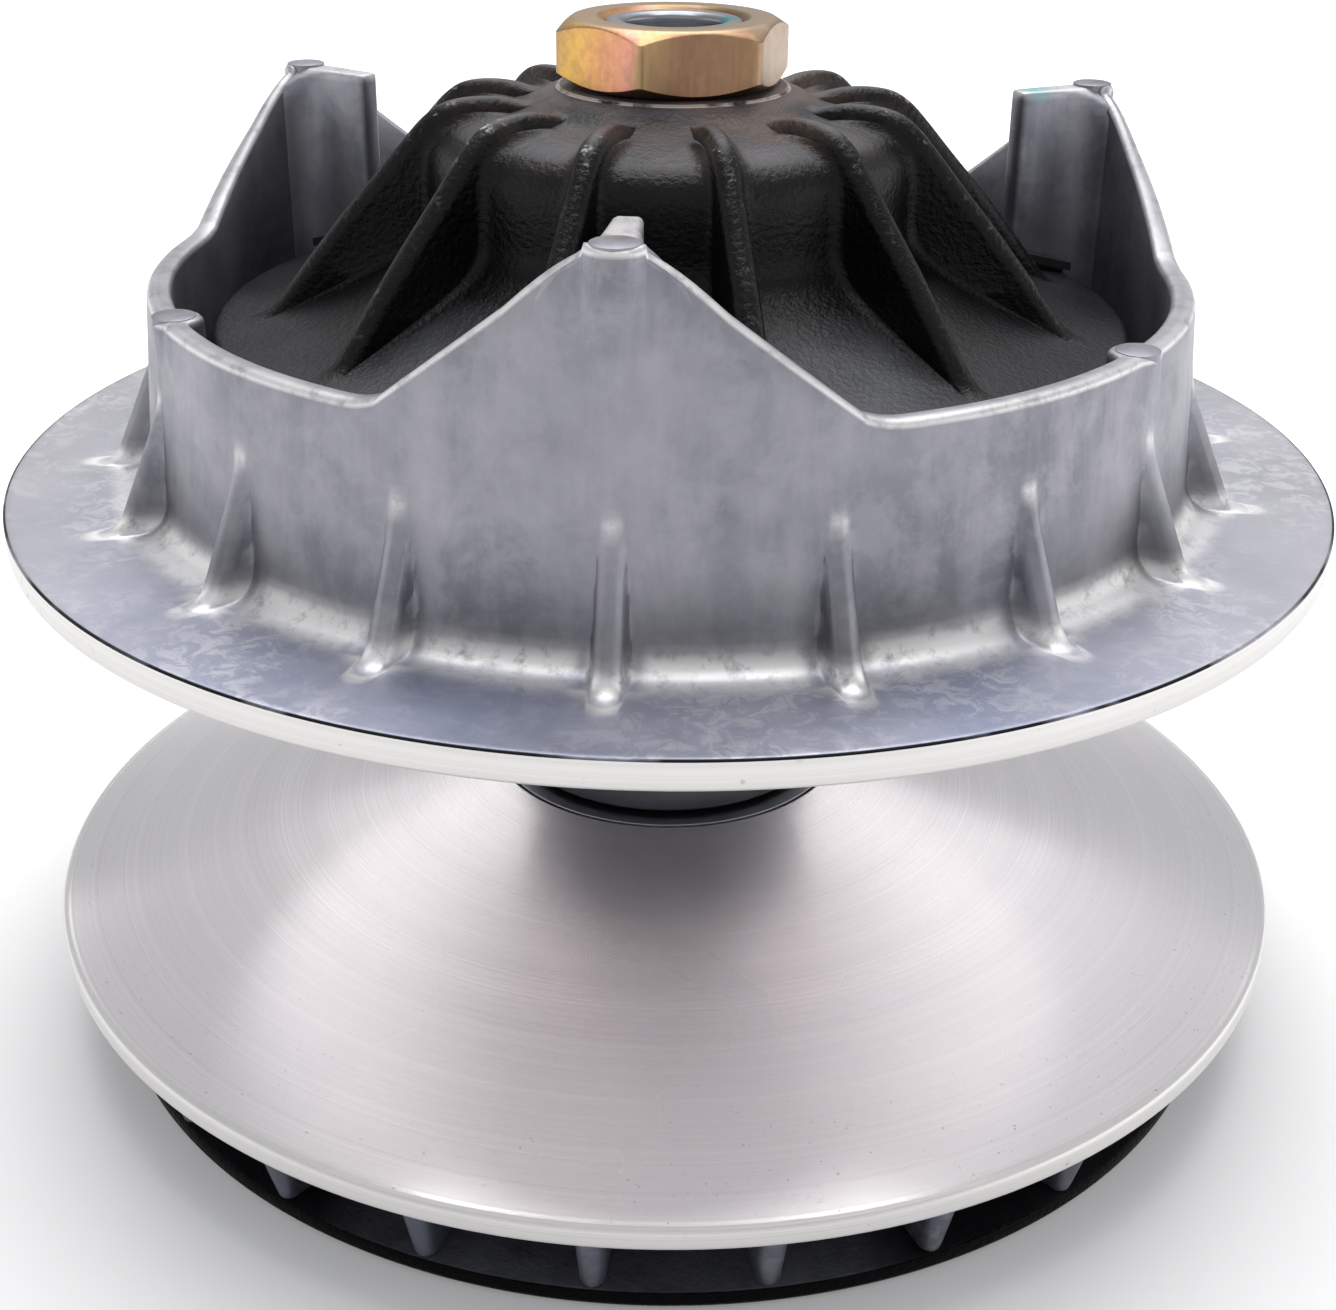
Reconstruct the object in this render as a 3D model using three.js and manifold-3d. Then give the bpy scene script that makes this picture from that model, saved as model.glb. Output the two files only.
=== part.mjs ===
// Drive pulley of a belt CVT: a fixed sheave on a hollow shaft, a sliding sheave with its governor
// cup, centrifugal levers and return spring, an idler bearing for the belt, and the shaft nut.
// Millimetres, +Z up along the shaft, origin at the middle of the hub's bottom face.
import * as THREE from "three";
import { mergeVertices } from "three/addons/utils/BufferGeometryUtils.js";
import Module from "manifold-3d";

const wasm = await Module();
wasm.setup();

// Driving dimensions
const SHEAVE_R = 100; // outside radius of both sheaves
const GROOVE_SLOPE = 0.2335; // rise per millimetre of radius on a belt face, 13 degrees
const HUB_INNER_R = 28.6; // inner edge of both belt faces
const GAP = 0.3; // clearance between neighbouring pieces
const ROUND = 40; // sides of the large turned pieces
const FINE_ROUND = 24; // sides of the small turned pieces

const FIXED_RIM_TOP = 20.8;
const FIXED_RIM_BOTTOM = 17.1;
const FIXED_HUB_R = 30;
const FIXED_HUB_BORE = 19.3;
const THRUST_SEAT_Z = 35.5;
const BACK_SLOPE = 0.208; // the lower sheave's disc thickens towards the hub
const FIN_COUNT = 24;
const FIN_AZIMUTH = -91.3; // one fin
const FIN_THICK = 4;
const FIN_BOTTOM_Z = 3.3;

const COVER_R = 92;
const COVER_HOLE_R = 46;
const COVER_Z = [0.5, 3.0];
const SCREW_COUNT = 6;
const SCREW_AZIMUTH = -90;
const SCREW_PCD_R = 60;
const SCREW_BOSS_R = 5;
const PILOT_R = 2.4;

const MOVING_RIM_TOP = 89;
const MOVING_RIM_BOTTOM = 84.9;
const WALL_TOP = 119;
const PEAK_TOP = 140.3;
const PEAK_COUNT = 3;
const PEAK_AZIMUTH = -90.4; // the first peak faces -Y, less a small turn
const PEAK_HALF_ANGLE = 26.5;
const PEAK_BEND = 0.9; // below 1 sharpens the top of a peak and widens its foot
const WALL_INNER_R = 73.2;
const WALL_FOOT_R = 79.3;
const WALL_LEAN = 0.078; // the wall's outside leans in by this share of the height
const FLOOR_SLOPE = 0.2415;
const BUTTRESS_COUNT = 18;
const BOSS_R = 3.8;
const WEB_INNER_R = 59.5;
const WEB_TOP = 140;
const WEB_THICK = 4.4;
const TOWER_R = 32.4;
const TOWER_TOP = 119;
const SLEEVE_R = 20;
const SLEEVE_Z = [95, 134.2];
const SPRING_LEDGE_Z = 115;

const SHAFT_R = 15;
const SPLINE_R = 12;
const THREAD_R = 10;
const BOLT_BORE_R = 7.15;
const CRANK_TAPER_R = 12.5;
const SHOULDER_Z = 134.2;
const SHAFT_TOP = 154;

const CUP_SEAT_Z = 134.5;
const CUP_TOP = 145;
const CUP_RIB_COUNT = 12;
const CUP_RIB_AZIMUTH = -74;
const CUP_RIB_THICK = 3.8;
const CUP_RIM_R = 68.4;
const CUP_SLOT_R = 57;
const CUP_SLOT_HALF = 5.2;
const FLANGE_TOP = [111.8, 0.2805]; // height at the cup's rim, and rise per millimetre inwards
const FLANGE_UNDER = [107.8, 0.2105];
const SHOE_LIP = 1.3;

const NUT_ACROSS_FLATS = 30;
const NUT_Z = [145.3, 154.4];
const NUT_TURN = -71; // azimuth of one flat's normal

const TRAVEL = 27; // closing travel of the sliding sheave
const LEVER_AZIMUTH = -30; // the first lever
const LEVER_SWING = 65; // degrees that a lever swings over the whole travel
const LEVER_PIVOT = [64, 88]; // radius and height of a lever's pivot
const LEVER_LENGTH = 30.5;
const LEVER_WIDTH = 10;
const LEVER_PIN_R = 2.6;
const CAM_AXLE = [50.5, 95]; // radius and height of a cam roller's axle
const CAM_ROLLER_R = 7;
const CAM_PIN_R = 3;

const radians = THREE.MathUtils.degToRad;
const STEP = 360 / PEAK_COUNT;
const peakAzimuths = [0, 1, 2].map((i) => PEAK_AZIMUTH + i * STEP);
const leverAzimuths = [0, 1, 2].map((i) => LEVER_AZIMUTH + i * STEP);

// Materials
const paint = (color, roughness, metalness) =>
  new THREE.MeshStandardMaterial({ color, roughness, metalness });
const castAluminium = paint(0x9a9ca6, 0.5, 0.9);
const turnedAluminium = paint(0xb9b9bf, 0.35, 0.95);
const blackCoat = paint(0x17181a, 0.55, 0.3);
const steel = paint(0x8b8e94, 0.35, 1.0);
const darkSteel = paint(0x2d2f33, 0.45, 0.9);
const yellowZinc = paint(0xc09a55, 0.35, 0.9);
const bronze = paint(0xa8773a, 0.45, 0.9);
const nylon = paint(0x222326, 0.6, 0.0);
const sealRubber = paint(0x1a1a1a, 0.8, 0.0);
const springSteel = paint(0x4a4d55, 0.4, 0.9);

// A closed geometry as a solid that can be joined and cut.
function solid(geometry) {
  const bare = geometry.clone();
  bare.deleteAttribute("normal");
  bare.deleteAttribute("uv");
  const merged = mergeVertices(bare, 1e-4);
  return new wasm.Manifold(
    new wasm.Mesh({
      numProp: 3,
      vertProperties: new Float32Array(merged.attributes.position.array),
      triVerts: new Uint32Array(merged.index.array),
    }),
  );
}

// A solid back as a geometry.
function geometryOf(body) {
  const mesh = body.getMesh();
  const geometry = new THREE.BufferGeometry();
  geometry.setAttribute("position", new THREE.BufferAttribute(mesh.vertProperties, 3));
  geometry.setIndex(new THREE.BufferAttribute(mesh.triVerts, 1));
  geometry.computeVertexNormals();
  return geometry;
}

const joined = (bodies) => bodies.reduce((all, one) => all.add(one));

// Turned about Z from a closed [radius, height] outline that runs anticlockwise.
function turned(outline, sides = ROUND) {
  const points = [...outline, outline[0]].map(([r, z]) => new THREE.Vector2(r, z));
  return new THREE.LatheGeometry(points, sides).rotateX(Math.PI / 2);
}

// A flat outline in X and Y, raised between two heights.
function raised(outline, [low, high]) {
  const shape = new THREE.Shape(outline.map(([x, y]) => new THREE.Vector2(x, y)));
  const options = { depth: high - low, bevelEnabled: false };
  return new THREE.ExtrudeGeometry(shape, options).translate(0, 0, low);
}

// A [radius, height] outline as a plate between two distances off the radial plane at an azimuth.
function radialPlate(outline, [near, far], azimuth) {
  const plate = raised(outline, [near, far]);
  return plate.rotateX(Math.PI / 2).rotateZ(radians(azimuth));
}

// Points of an arc about [x, y], in degrees.
function arc([x, y], radius, from, to, steps) {
  return Array.from({ length: steps + 1 }, (_, i) => {
    const angle = radians(from + ((to - from) * i) / steps);
    return [x + radius * Math.cos(angle), y + radius * Math.sin(angle)];
  });
}

// A round bar along the tangent, centred on the radial plane at an azimuth.
function tangentBar(radius, length, [r, z], azimuth, sides = 16) {
  const bar = new THREE.CylinderGeometry(radius, radius, length, sides);
  return bar.translate(r, 0, z).rotateZ(radians(azimuth));
}

// A round bar standing along Z, centred at a radius and azimuth.
const upright = (radius, r, [low, high], azimuth, sides = 12) =>
  new THREE.CylinderGeometry(radius, radius, high - low, sides)
    .rotateX(Math.PI / 2)
    .translate(r, 0, (low + high) / 2)
    .rotateZ(radians(azimuth));

const group = new THREE.Group();
function place(name, geometry, material) {
  const mesh = new THREE.Mesh(geometry, material);
  mesh.name = name;
  group.add(mesh);
}

const screwPlaces = Array.from({ length: SCREW_COUNT }, (_, i) => {
  const angle = radians(SCREW_AZIMUTH + (i * 360) / SCREW_COUNT);
  return [SCREW_PCD_R * Math.cos(angle), SCREW_PCD_R * Math.sin(angle)];
});

// Fixed sheave: belt face, hub, radial cooling fins and screw bosses
const fixedFace = (r) => FIXED_RIM_TOP + (SHEAVE_R - r) * GROOVE_SLOPE;
const fixedBack = (r) => FIXED_RIM_BOTTOM + (SHEAVE_R - r) * BACK_SLOPE;
function fixedSheave() {
  const disc = turned([
    [FIXED_HUB_BORE, 0],
    [FIXED_HUB_R, 0],
    [FIXED_HUB_R, 25],
    [38, fixedBack(38)],
    [SHEAVE_R, FIXED_RIM_BOTTOM],
    [SHEAVE_R, FIXED_RIM_TOP - 0.4],
    [SHEAVE_R - 1.2, fixedFace(SHEAVE_R - 1.2)],
    [HUB_INNER_R, fixedFace(HUB_INNER_R)],
    [HUB_INNER_R, THRUST_SEAT_Z],
    [FIXED_HUB_BORE, THRUST_SEAT_Z],
  ]);
  const finOutline = [
    [COVER_HOLE_R + 2, FIN_BOTTOM_Z],
    [COVER_R, FIN_BOTTOM_Z],
    [COVER_R + 5, fixedBack(COVER_R + 5) + 0.6],
    [COVER_HOLE_R, fixedBack(COVER_HOLE_R) + 0.6],
  ];
  const half = FIN_THICK / 2;
  const bodies = [solid(disc)];
  for (let i = 0; i < FIN_COUNT; i++) {
    bodies.push(solid(radialPlate(finOutline, [-half, half], FIN_AZIMUTH + (i * 360) / FIN_COUNT)));
  }
  const boss = upright(SCREW_BOSS_R, 0, [FIN_BOTTOM_Z, 27], 0, 10);
  for (const [x, y] of screwPlaces) {
    bodies.push(solid(boss.clone().translate(x, y, 0)));
  }
  let sheave = joined(bodies);
  const pilot = upright(PILOT_R, 0, [0, 16], 0, 10);
  for (const [x, y] of screwPlaces) {
    sheave = sheave.subtract(solid(pilot.clone().translate(x, y, 0)));
  }
  return geometryOf(sheave);
}

// Fan cover: a ring screwed under the fins with countersunk screws
function fanCover() {
  const [low, high] = COVER_Z;
  let ring = solid(turned([[COVER_HOLE_R, low], [COVER_R, low], [COVER_R, high], [COVER_HOLE_R, high]]));
  const sink = new THREE.CylinderGeometry(2.5, 4.7, 2.7, 10).rotateX(Math.PI / 2).translate(0, 0, 1.75);
  for (const [x, y] of screwPlaces) {
    ring = ring.subtract(solid(sink.clone().translate(x, y, 0)));
  }
  return geometryOf(ring);
}

const coverScrew = turned([[0, 0.7], [4.1, 0.7], [2.1, 2.9], [2.1, 15], [0, 15]], 10);

// Shaft: crank taper, bearing seat, cup spline and thread, hollow for the crank bolt
const shaft = turned(
  [
    [CRANK_TAPER_R, 0],
    [FIXED_HUB_BORE - GAP, 0],
    [FIXED_HUB_BORE - GAP, 38],
    [SHAFT_R, 38],
    [SHAFT_R, SHOULDER_Z],
    [SPLINE_R, SHOULDER_Z],
    [SPLINE_R, CUP_TOP - 1],
    [THREAD_R - 0.2, CUP_TOP],
    [THREAD_R - 0.2, SHAFT_TOP - 1],
    [THREAD_R - 1, SHAFT_TOP],
    [BOLT_BORE_R, SHAFT_TOP],
    [BOLT_BORE_R, 42],
  ],
  FINE_ROUND,
);

// Hexagon nut, chamfered top and bottom, threaded over the shaft end
function shaftNut() {
  const [low, high] = NUT_Z;
  const corner = NUT_ACROSS_FLATS / 2 / Math.cos(Math.PI / 6);
  const hexagon = arc([0, 0], corner, 30, 330, 5);
  const prism = solid(raised(hexagon, NUT_Z).rotateZ(radians(NUT_TURN)));
  const edge = NUT_ACROSS_FLATS / 2 - 0.4;
  const drop = 1.3;
  const envelope = solid(
    turned(
      [
        [THREAD_R + 0.1, low],
        [edge, low],
        [corner + 0.2, low + drop],
        [corner + 0.2, high - drop],
        [edge, high],
        [THREAD_R + 0.1, high],
      ],
      FINE_ROUND,
    ),
  );
  return geometryOf(prism.intersect(envelope));
}

// Governor cup: splined hub, ribbed dome, conical flange with guide slots, ears for the cam rollers
function governorCup() {
  const flangeTop = [
    [CUP_RIM_R, flangeLine(FLANGE_TOP, CUP_RIM_R)],
    [52, flangeLine(FLANGE_TOP, 52)],
    [36.5, 124.2],
  ];
  const dome = [
    [35.2, 126],
    [34.6, 133],
    [32.2, 138],
    [27, 141],
    [19.2, 143],
    [17, CUP_TOP],
  ];
  const hub = [
    [SPLINE_R + GAP, CUP_TOP],
    [SPLINE_R + GAP, CUP_SEAT_Z],
    [SLEEVE_R, CUP_SEAT_Z],
  ];
  const underside = [
    [20.6, 137],
    [27, 136.4],
    [30.6, 132],
    [31.8, 121.4],
    [CUP_SLOT_R, flangeLine(FLANGE_UNDER, CUP_SLOT_R)],
    [CUP_RIM_R, flangeLine(FLANGE_UNDER, CUP_RIM_R)],
  ];
  const bodies = [solid(turned([...underside, ...flangeTop, ...dome, ...hub]))];
  const ribOutline = [
    [17.2, 142.9],
    [17.2, 141],
    [28, 138],
    [33, 123.6],
    [57, 112.6],
    [60.2, 113],
    [47.1, 129.5],
    [36.4, 141.1],
    [31.5, 143.4],
    [28, 143.8],
  ];
  const half = CUP_RIB_THICK / 2;
  const ribStep = 360 / CUP_RIB_COUNT;
  for (let i = 0; i < CUP_RIB_COUNT; i++) {
    bodies.push(solid(radialPlate(ribOutline, [-half, half], CUP_RIB_AZIMUTH + i * ribStep)));
  }
  const earOutline = [
    [44, 118],
    ...arc(CAM_AXLE, 5.2, 180, 360, 6),
    [60, 111.6],
  ];
  for (const azimuth of leverAzimuths) {
    for (const side of [-10.5, 6.5]) {
      bodies.push(solid(radialPlate(earOutline, [side, side + 4], azimuth)));
    }
  }
  let cup = joined(bodies);
  for (const azimuth of peakAzimuths) {
    const slot = new THREE.BoxGeometry(16, 2 * CUP_SLOT_HALF, 20).translate(CUP_SLOT_R + 8, 0, 110);
    cup = cup.subtract(solid(slot.rotateZ(radians(azimuth))));
  }
  for (const azimuth of leverAzimuths) {
    cup = cup.subtract(solid(tangentBar(CAM_PIN_R + GAP, 30, CAM_AXLE, azimuth)));
  }
  return geometryOf(cup);
}

// Guide shoe: a U of low-friction plastic round a web, with lips that hug the cup's conical flange
const flangeLine = ([atRim, slope], r) => atRim + (CUP_RIM_R - r) * slope;
function guideShoe(azimuth) {
  const end = CUP_RIM_R - 0.2;
  const above = (r) => flangeLine(FLANGE_TOP, r) + GAP;
  const below = (r) => flangeLine(FLANGE_UNDER, r) - GAP;
  const band = (start, half, low, high) => {
    const outline = [[start, low(start)], [end, low(end)], [end, high(end)], [start, high(start)]];
    return solid(radialPlate(outline, [-half, half], 0));
  };
  const narrow = CUP_SLOT_HALF - GAP;
  const lipStart = CUP_SLOT_R - 1.5;
  const top = (r) => above(r) + SHOE_LIP;
  const bottom = (r) => below(r) - SHOE_LIP;
  const shoe = joined([
    band(CUP_SLOT_R + GAP, narrow, bottom, top),
    band(lipStart, narrow + 2, above, top),
    band(lipStart, narrow + 2, bottom, below),
  ]);
  const webSlot = solid(new THREE.BoxGeometry(12, WEB_THICK + 0.8, 20).translate(WEB_INNER_R + 5.3, 0, 110));
  return geometryOf(shoe.subtract(webSlot).rotate([0, 0, azimuth]));
}

// Height of the sliding sheave's wall at an angle from the nearest peak.
function wallTop(angle) {
  const share = Math.min(Math.abs(angle) / PEAK_HALF_ANGLE, 1) ** PEAK_BEND;
  return WALL_TOP + ((PEAK_TOP - WALL_TOP) * (1 + Math.cos(Math.PI * share))) / 2;
}

// The scalloped wall: a ring whose top follows wallTop and whose outside leans in towards the top.
function scallopedWall() {
  const sides = 60;
  const low = 80;
  const outside = (z) => WALL_FOOT_R - WALL_LEAN * (z - MOVING_RIM_TOP);
  const positions = [];
  for (let i = 0; i < sides; i++) {
    const degrees = (i * 360) / sides;
    const nearest = ((degrees + STEP / 2) % STEP) - STEP / 2;
    const top = wallTop(nearest);
    const angle = radians(PEAK_AZIMUTH + degrees);
    const corners = [
      [outside(low), low],
      [outside(top), top],
      [WALL_INNER_R, top],
      [WALL_INNER_R, low],
    ];
    for (const [r, z] of corners) {
      positions.push(r * Math.cos(angle), r * Math.sin(angle), z);
    }
  }
  const faces = [];
  for (let i = 0; i < sides; i++) {
    const j = (i + 1) % sides;
    for (let c = 0; c < 4; c++) {
      const d = (c + 1) % 4;
      faces.push(4 * i + c, 4 * j + c, 4 * j + d);
      faces.push(4 * i + c, 4 * j + d, 4 * i + d);
    }
  }
  const geometry = new THREE.BufferGeometry();
  geometry.setAttribute("position", new THREE.Float32BufferAttribute(positions, 3));
  geometry.setIndex(faces);
  return geometry;
}

// Sliding sheave: belt face, scalloped wall with ribs, guide webs, lever ears, spring tower, sleeve
const movingFace = (r) => MOVING_RIM_BOTTOM - (SHEAVE_R - r) * GROOVE_SLOPE;
const floorTop = (r) => 84 - (WALL_INNER_R - r) * FLOOR_SLOPE;
function movableSheave() {
  const disc = turned([
    [HUB_INNER_R, movingFace(HUB_INNER_R)],
    [SHEAVE_R, MOVING_RIM_BOTTOM],
    [SHEAVE_R, MOVING_RIM_TOP - 0.5],
    [SHEAVE_R - 0.6, MOVING_RIM_TOP],
    [74, MOVING_RIM_TOP],
    [74, floorTop(74)],
    [38, floorTop(38)],
    [34, floorTop(38) + 1.6],
    [TOWER_R, 80],
    [TOWER_R, TOWER_TOP],
    [SLEEVE_R, TOWER_TOP],
    [SLEEVE_R, SLEEVE_Z[1]],
    [SHAFT_R + 2.6, SLEEVE_Z[1]],
    [SHAFT_R + 2.6, SLEEVE_Z[0]],
    [SLEEVE_R, SLEEVE_Z[0]],
    [SLEEVE_R, SPRING_LEDGE_Z],
    [HUB_INNER_R, SPRING_LEDGE_Z],
  ]);
  const bodies = [solid(disc), solid(scallopedWall())];
  const ribOutline = [[74.5, 86], [86, 86], [86, MOVING_RIM_TOP + 0.4], [77.4, 109.5], [74.5, 109.5]];
  for (let i = 0; i < BUTTRESS_COUNT; i++) {
    const azimuth = PEAK_AZIMUTH + (i * 360) / BUTTRESS_COUNT;
    bodies.push(solid(radialPlate(ribOutline, [-1.6, 1.6], azimuth)));
  }
  const half = WEB_THICK / 2;
  const webOutline = [
    [WEB_INNER_R, 79], [75, 79], [75, WEB_TOP], [WEB_INNER_R + 1, WEB_TOP], [WEB_INNER_R, WEB_TOP - 1],
  ];
  for (const azimuth of peakAzimuths) {
    bodies.push(solid(upright(BOSS_R, 73.7, [80, PEAK_TOP], azimuth)));
    bodies.push(solid(radialPlate(webOutline, [-half, half], azimuth)));
  }
  const pivotR = LEVER_PIVOT[0];
  const earOutline = [
    [pivotR - 6, floorTop(pivotR) - 3],
    [pivotR + 6, floorTop(pivotR) - 1],
    ...arc(LEVER_PIVOT, 4.8, 0, 180, 6),
  ];
  for (const azimuth of leverAzimuths) {
    bodies.push(solid(upright(BOSS_R, 74.5, [80, WALL_TOP], azimuth)));
    for (const side of [-9, 5.8]) {
      bodies.push(solid(radialPlate(earOutline, [side, side + 3.2], azimuth)));
    }
  }
  let sheave = joined(bodies);
  for (const azimuth of leverAzimuths) {
    sheave = sheave.subtract(solid(tangentBar(LEVER_PIN_R + GAP, 24, LEVER_PIVOT, azimuth)));
  }
  return geometryOf(sheave);
}

// Roller centre seen from a lever, as [distance inwards, height], when the sheave has moved by d.
function rollerFromLever(d) {
  const across = LEVER_PIVOT[0] - CAM_AXLE[0];
  const up = CAM_AXLE[1] - LEVER_PIVOT[1] + d;
  const angle = Math.atan2(up, across) - radians((LEVER_SWING * d) / TRAVEL);
  const distance = Math.hypot(across, up);
  return [distance * Math.cos(angle), distance * Math.sin(angle)];
}

// Height of a lever's cam face: the lowest that the roller reaches over the whole travel.
function camHeight(inwards) {
  const reach = CAM_ROLLER_R + GAP;
  let lowest = Infinity;
  for (let d = 0; d <= TRAVEL; d += 0.25) {
    const [u, h] = rollerFromLever(d);
    const off = inwards - u;
    if (Math.abs(off) < reach) lowest = Math.min(lowest, h - Math.sqrt(reach * reach - off * off));
  }
  return lowest;
}

// Centrifugal lever: a pivot boss, a weight hung under the arm and a cam face on top
function centrifugalLever(azimuth) {
  const [pivotR, pivotZ] = LEVER_PIVOT;
  const camSteps = 10;
  const cam = Array.from({ length: camSteps + 1 }, (_, i) => {
    const u = 8 + ((LEVER_LENGTH - 8) * i) / camSteps;
    return [pivotR - u, pivotZ + camHeight(u)];
  });
  const outline = [
    ...arc(LEVER_PIVOT, 5.8, -90, 150, 8),
    ...cam,
    [pivotR - LEVER_LENGTH, pivotZ - 5],
    [pivotR - 27, pivotZ - 8.8],
    [pivotR - 20, pivotZ - 9.2],
    [pivotR - 10, pivotZ - 7.6],
  ];
  const half = LEVER_WIDTH / 2;
  const arm = solid(radialPlate(outline, [-half, half], azimuth));
  const bore = solid(tangentBar(LEVER_PIN_R + 1.7, 24, LEVER_PIVOT, azimuth));
  const rivetHole = solid(tangentBar(2.8, 24, weightPlace, azimuth, 12));
  return geometryOf(arm.subtract(bore).subtract(rivetHole));
}
const weightPlace = [LEVER_PIVOT[0] - 21.5, LEVER_PIVOT[1] - 4];

// A ring about a tangential axis: bushes and rollers.
function tangentRing(outer, inner, length, centre, azimuth, sides = 20) {
  const body = solid(tangentBar(outer, length, centre, azimuth, sides));
  return geometryOf(body.subtract(solid(tangentBar(inner, length + 2, centre, azimuth, sides))));
}

// Return spring: a round-wire coil between the spring seat and the ledge in the tower
function returnSpring() {
  const wire = 2;
  const meanR = 24;
  const low = 67.3 + wire;
  const high = SPRING_LEDGE_Z - GAP - wire;
  const turns = 4.6;
  const coil = new THREE.Curve();
  coil.getPoint = (t) => {
    const angle = t * turns * 2 * Math.PI;
    return new THREE.Vector3(meanR * Math.cos(angle), meanR * Math.sin(angle), low + (high - low) * t);
  };
  const section = new THREE.Shape(arc([0, 0], wire, 0, 300, 5).map(([x, y]) => new THREE.Vector2(x, y)));
  return new THREE.ExtrudeGeometry(section, { steps: 60, extrudePath: coil, bevelEnabled: false });
}

// Needle cage of the idler bearing: a thin ring with needles set in it
function needleCage() {
  const count = 12;
  const ring = solid(turned([[19.6, 41], [20.9, 41], [20.9, 61], [19.6, 61]], FINE_ROUND));
  const needles = Array.from({ length: count }, (_, i) =>
    solid(upright(1.3, 20.25, [42, 60], (i * 360) / count, 6)),
  );
  return geometryOf(joined([ring, ...needles]));
}

const ring = (inner, outer, low, high, sides = FINE_ROUND) =>
  turned([[inner, low], [outer, low], [outer, high], [inner, high]], sides);

// Assembly
place("fixed_sheave", fixedSheave(), turnedAluminium);
place("fan_cover_plate", fanCover(), blackCoat);
screwPlaces.forEach(([x, y], i) => {
  place(`fan_cover_screw_${i + 1}`, coverScrew.clone().translate(x, y, 0), darkSteel);
});
place("drive_shaft", shaft, steel);
place("governor_cup", governorCup(), blackCoat);
place("shaft_nut", shaftNut(), yellowZinc);
place("idler_thrust_washer", ring(FIXED_HUB_BORE + 0.1, HUB_INNER_R - GAP, 35.8, 37.8), steel);
place("idler_inner_race", ring(SHAFT_R + GAP, 18.6, 38.3, 63.7), steel);
place("idler_needle_cage", needleCage(), darkSteel);
place("idler_sleeve", ring(21.9, 25.5, 38.3, 63.4), darkSteel);
place("spring_seat", turned([[15.3, 64], [27.9, 64], [27.9, 67], [15.3, 67]]), steel);
place("return_spring", returnSpring(), springSteel);
place("movable_sheave", movableSheave(), castAluminium);
place("lower_seal", ring(15.3, 17.3, 95.2, 98.6), sealRubber);
place("lower_bushing", ring(15.3, 17.3, 98.9, 111), bronze);
place("upper_bushing", ring(15.3, 17.3, 117, 129.8), bronze);
place("upper_seal", ring(15.3, 17.3, 130.1, 134), sealRubber);
for (let i = 0; i < PEAK_COUNT; i++) {
  const tag = i + 1;
  const azimuth = leverAzimuths[i];
  place(`guide_shoe_${tag}`, guideShoe(peakAzimuths[i]), nylon);
  place(`cam_roller_pin_${tag}`, tangentBar(CAM_PIN_R, 21, CAM_AXLE, azimuth), steel);
  place(`cam_roller_${tag}`, tangentRing(CAM_ROLLER_R, CAM_PIN_R + GAP, 11, CAM_AXLE, azimuth), steel);
  place(`lever_pin_${tag}`, tangentBar(LEVER_PIN_R, 18, LEVER_PIVOT, azimuth), steel);
  const bush = tangentRing(LEVER_PIN_R + 1.4, LEVER_PIN_R + GAP, LEVER_WIDTH, LEVER_PIVOT, azimuth);
  place(`lever_bush_${tag}`, bush, bronze);
  place(`lever_weight_${tag}`, tangentBar(2.5, 10.6, weightPlace, azimuth, 12), steel);
  place(`centrifugal_lever_${tag}`, centrifugalLever(azimuth), darkSteel);
}

export default group;
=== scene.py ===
"""Studio scene of a belt CVT's drive pulley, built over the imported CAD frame.

Outlines are in millimetres as (radius, height), in the CAD frame: +Z up the shaft, the hub's bottom
at zero and the first housing peak facing -Y, less a small turn. Meshes are turned to metres when they are made.
"""
import math

import bmesh
import bpy
import numpy as np
from mathutils import Matrix, Vector


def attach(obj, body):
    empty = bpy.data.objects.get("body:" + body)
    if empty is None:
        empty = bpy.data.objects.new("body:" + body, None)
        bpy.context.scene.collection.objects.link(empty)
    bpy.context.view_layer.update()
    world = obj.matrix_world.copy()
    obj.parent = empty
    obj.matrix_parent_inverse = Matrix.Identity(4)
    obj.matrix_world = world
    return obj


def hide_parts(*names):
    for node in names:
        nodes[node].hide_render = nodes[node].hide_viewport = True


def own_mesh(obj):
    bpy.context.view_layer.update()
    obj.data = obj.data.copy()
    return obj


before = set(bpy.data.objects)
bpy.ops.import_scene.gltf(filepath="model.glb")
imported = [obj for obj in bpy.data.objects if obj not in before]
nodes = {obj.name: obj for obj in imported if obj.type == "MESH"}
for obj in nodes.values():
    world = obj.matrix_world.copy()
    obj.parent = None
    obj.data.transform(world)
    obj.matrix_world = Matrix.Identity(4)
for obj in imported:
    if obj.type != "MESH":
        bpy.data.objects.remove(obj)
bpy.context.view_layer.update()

MM = 0.001
PEAK_AZIMUTHS = [-90.4, 29.6, 149.6]
LEVER_AZIMUTHS = [-30.0, 90.0, 210.0]
GROOVE_SLOPE = 0.2335  # rise of a belt face per millimetre of radius
SHARP_ANGLE = 35.0  # degrees above which an edge is shaded sharp


# Meshes --------------------------------------------------------------------------------------------

def mesh_object(name, points_mm, faces, body, materials, sharp=SHARP_ANGLE):
    """A piece from points in millimetres; it rides on a CAD body and is shaded smooth up to an angle."""
    mesh = bpy.data.meshes.new(name)
    mesh.from_pydata((np.asarray(points_mm, float) * MM).tolist(), [], faces)
    shape = bmesh.new()
    shape.from_mesh(mesh)
    bmesh.ops.remove_doubles(shape, verts=shape.verts, dist=1e-6)
    bmesh.ops.recalc_face_normals(shape, faces=shape.faces)
    shape.to_mesh(mesh)
    shape.free()
    mesh.shade_smooth()
    mesh.set_sharp_from_angle(angle=math.radians(sharp))
    for material in materials:
        mesh.materials.append(material)
    piece = bpy.data.objects.new(name, mesh)
    bpy.context.scene.collection.objects.link(piece)
    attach(piece, body)
    return piece


def stand_for(piece, slot, *cad_nodes):
    if cad_nodes:
        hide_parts(*cad_nodes)
    return piece


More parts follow.
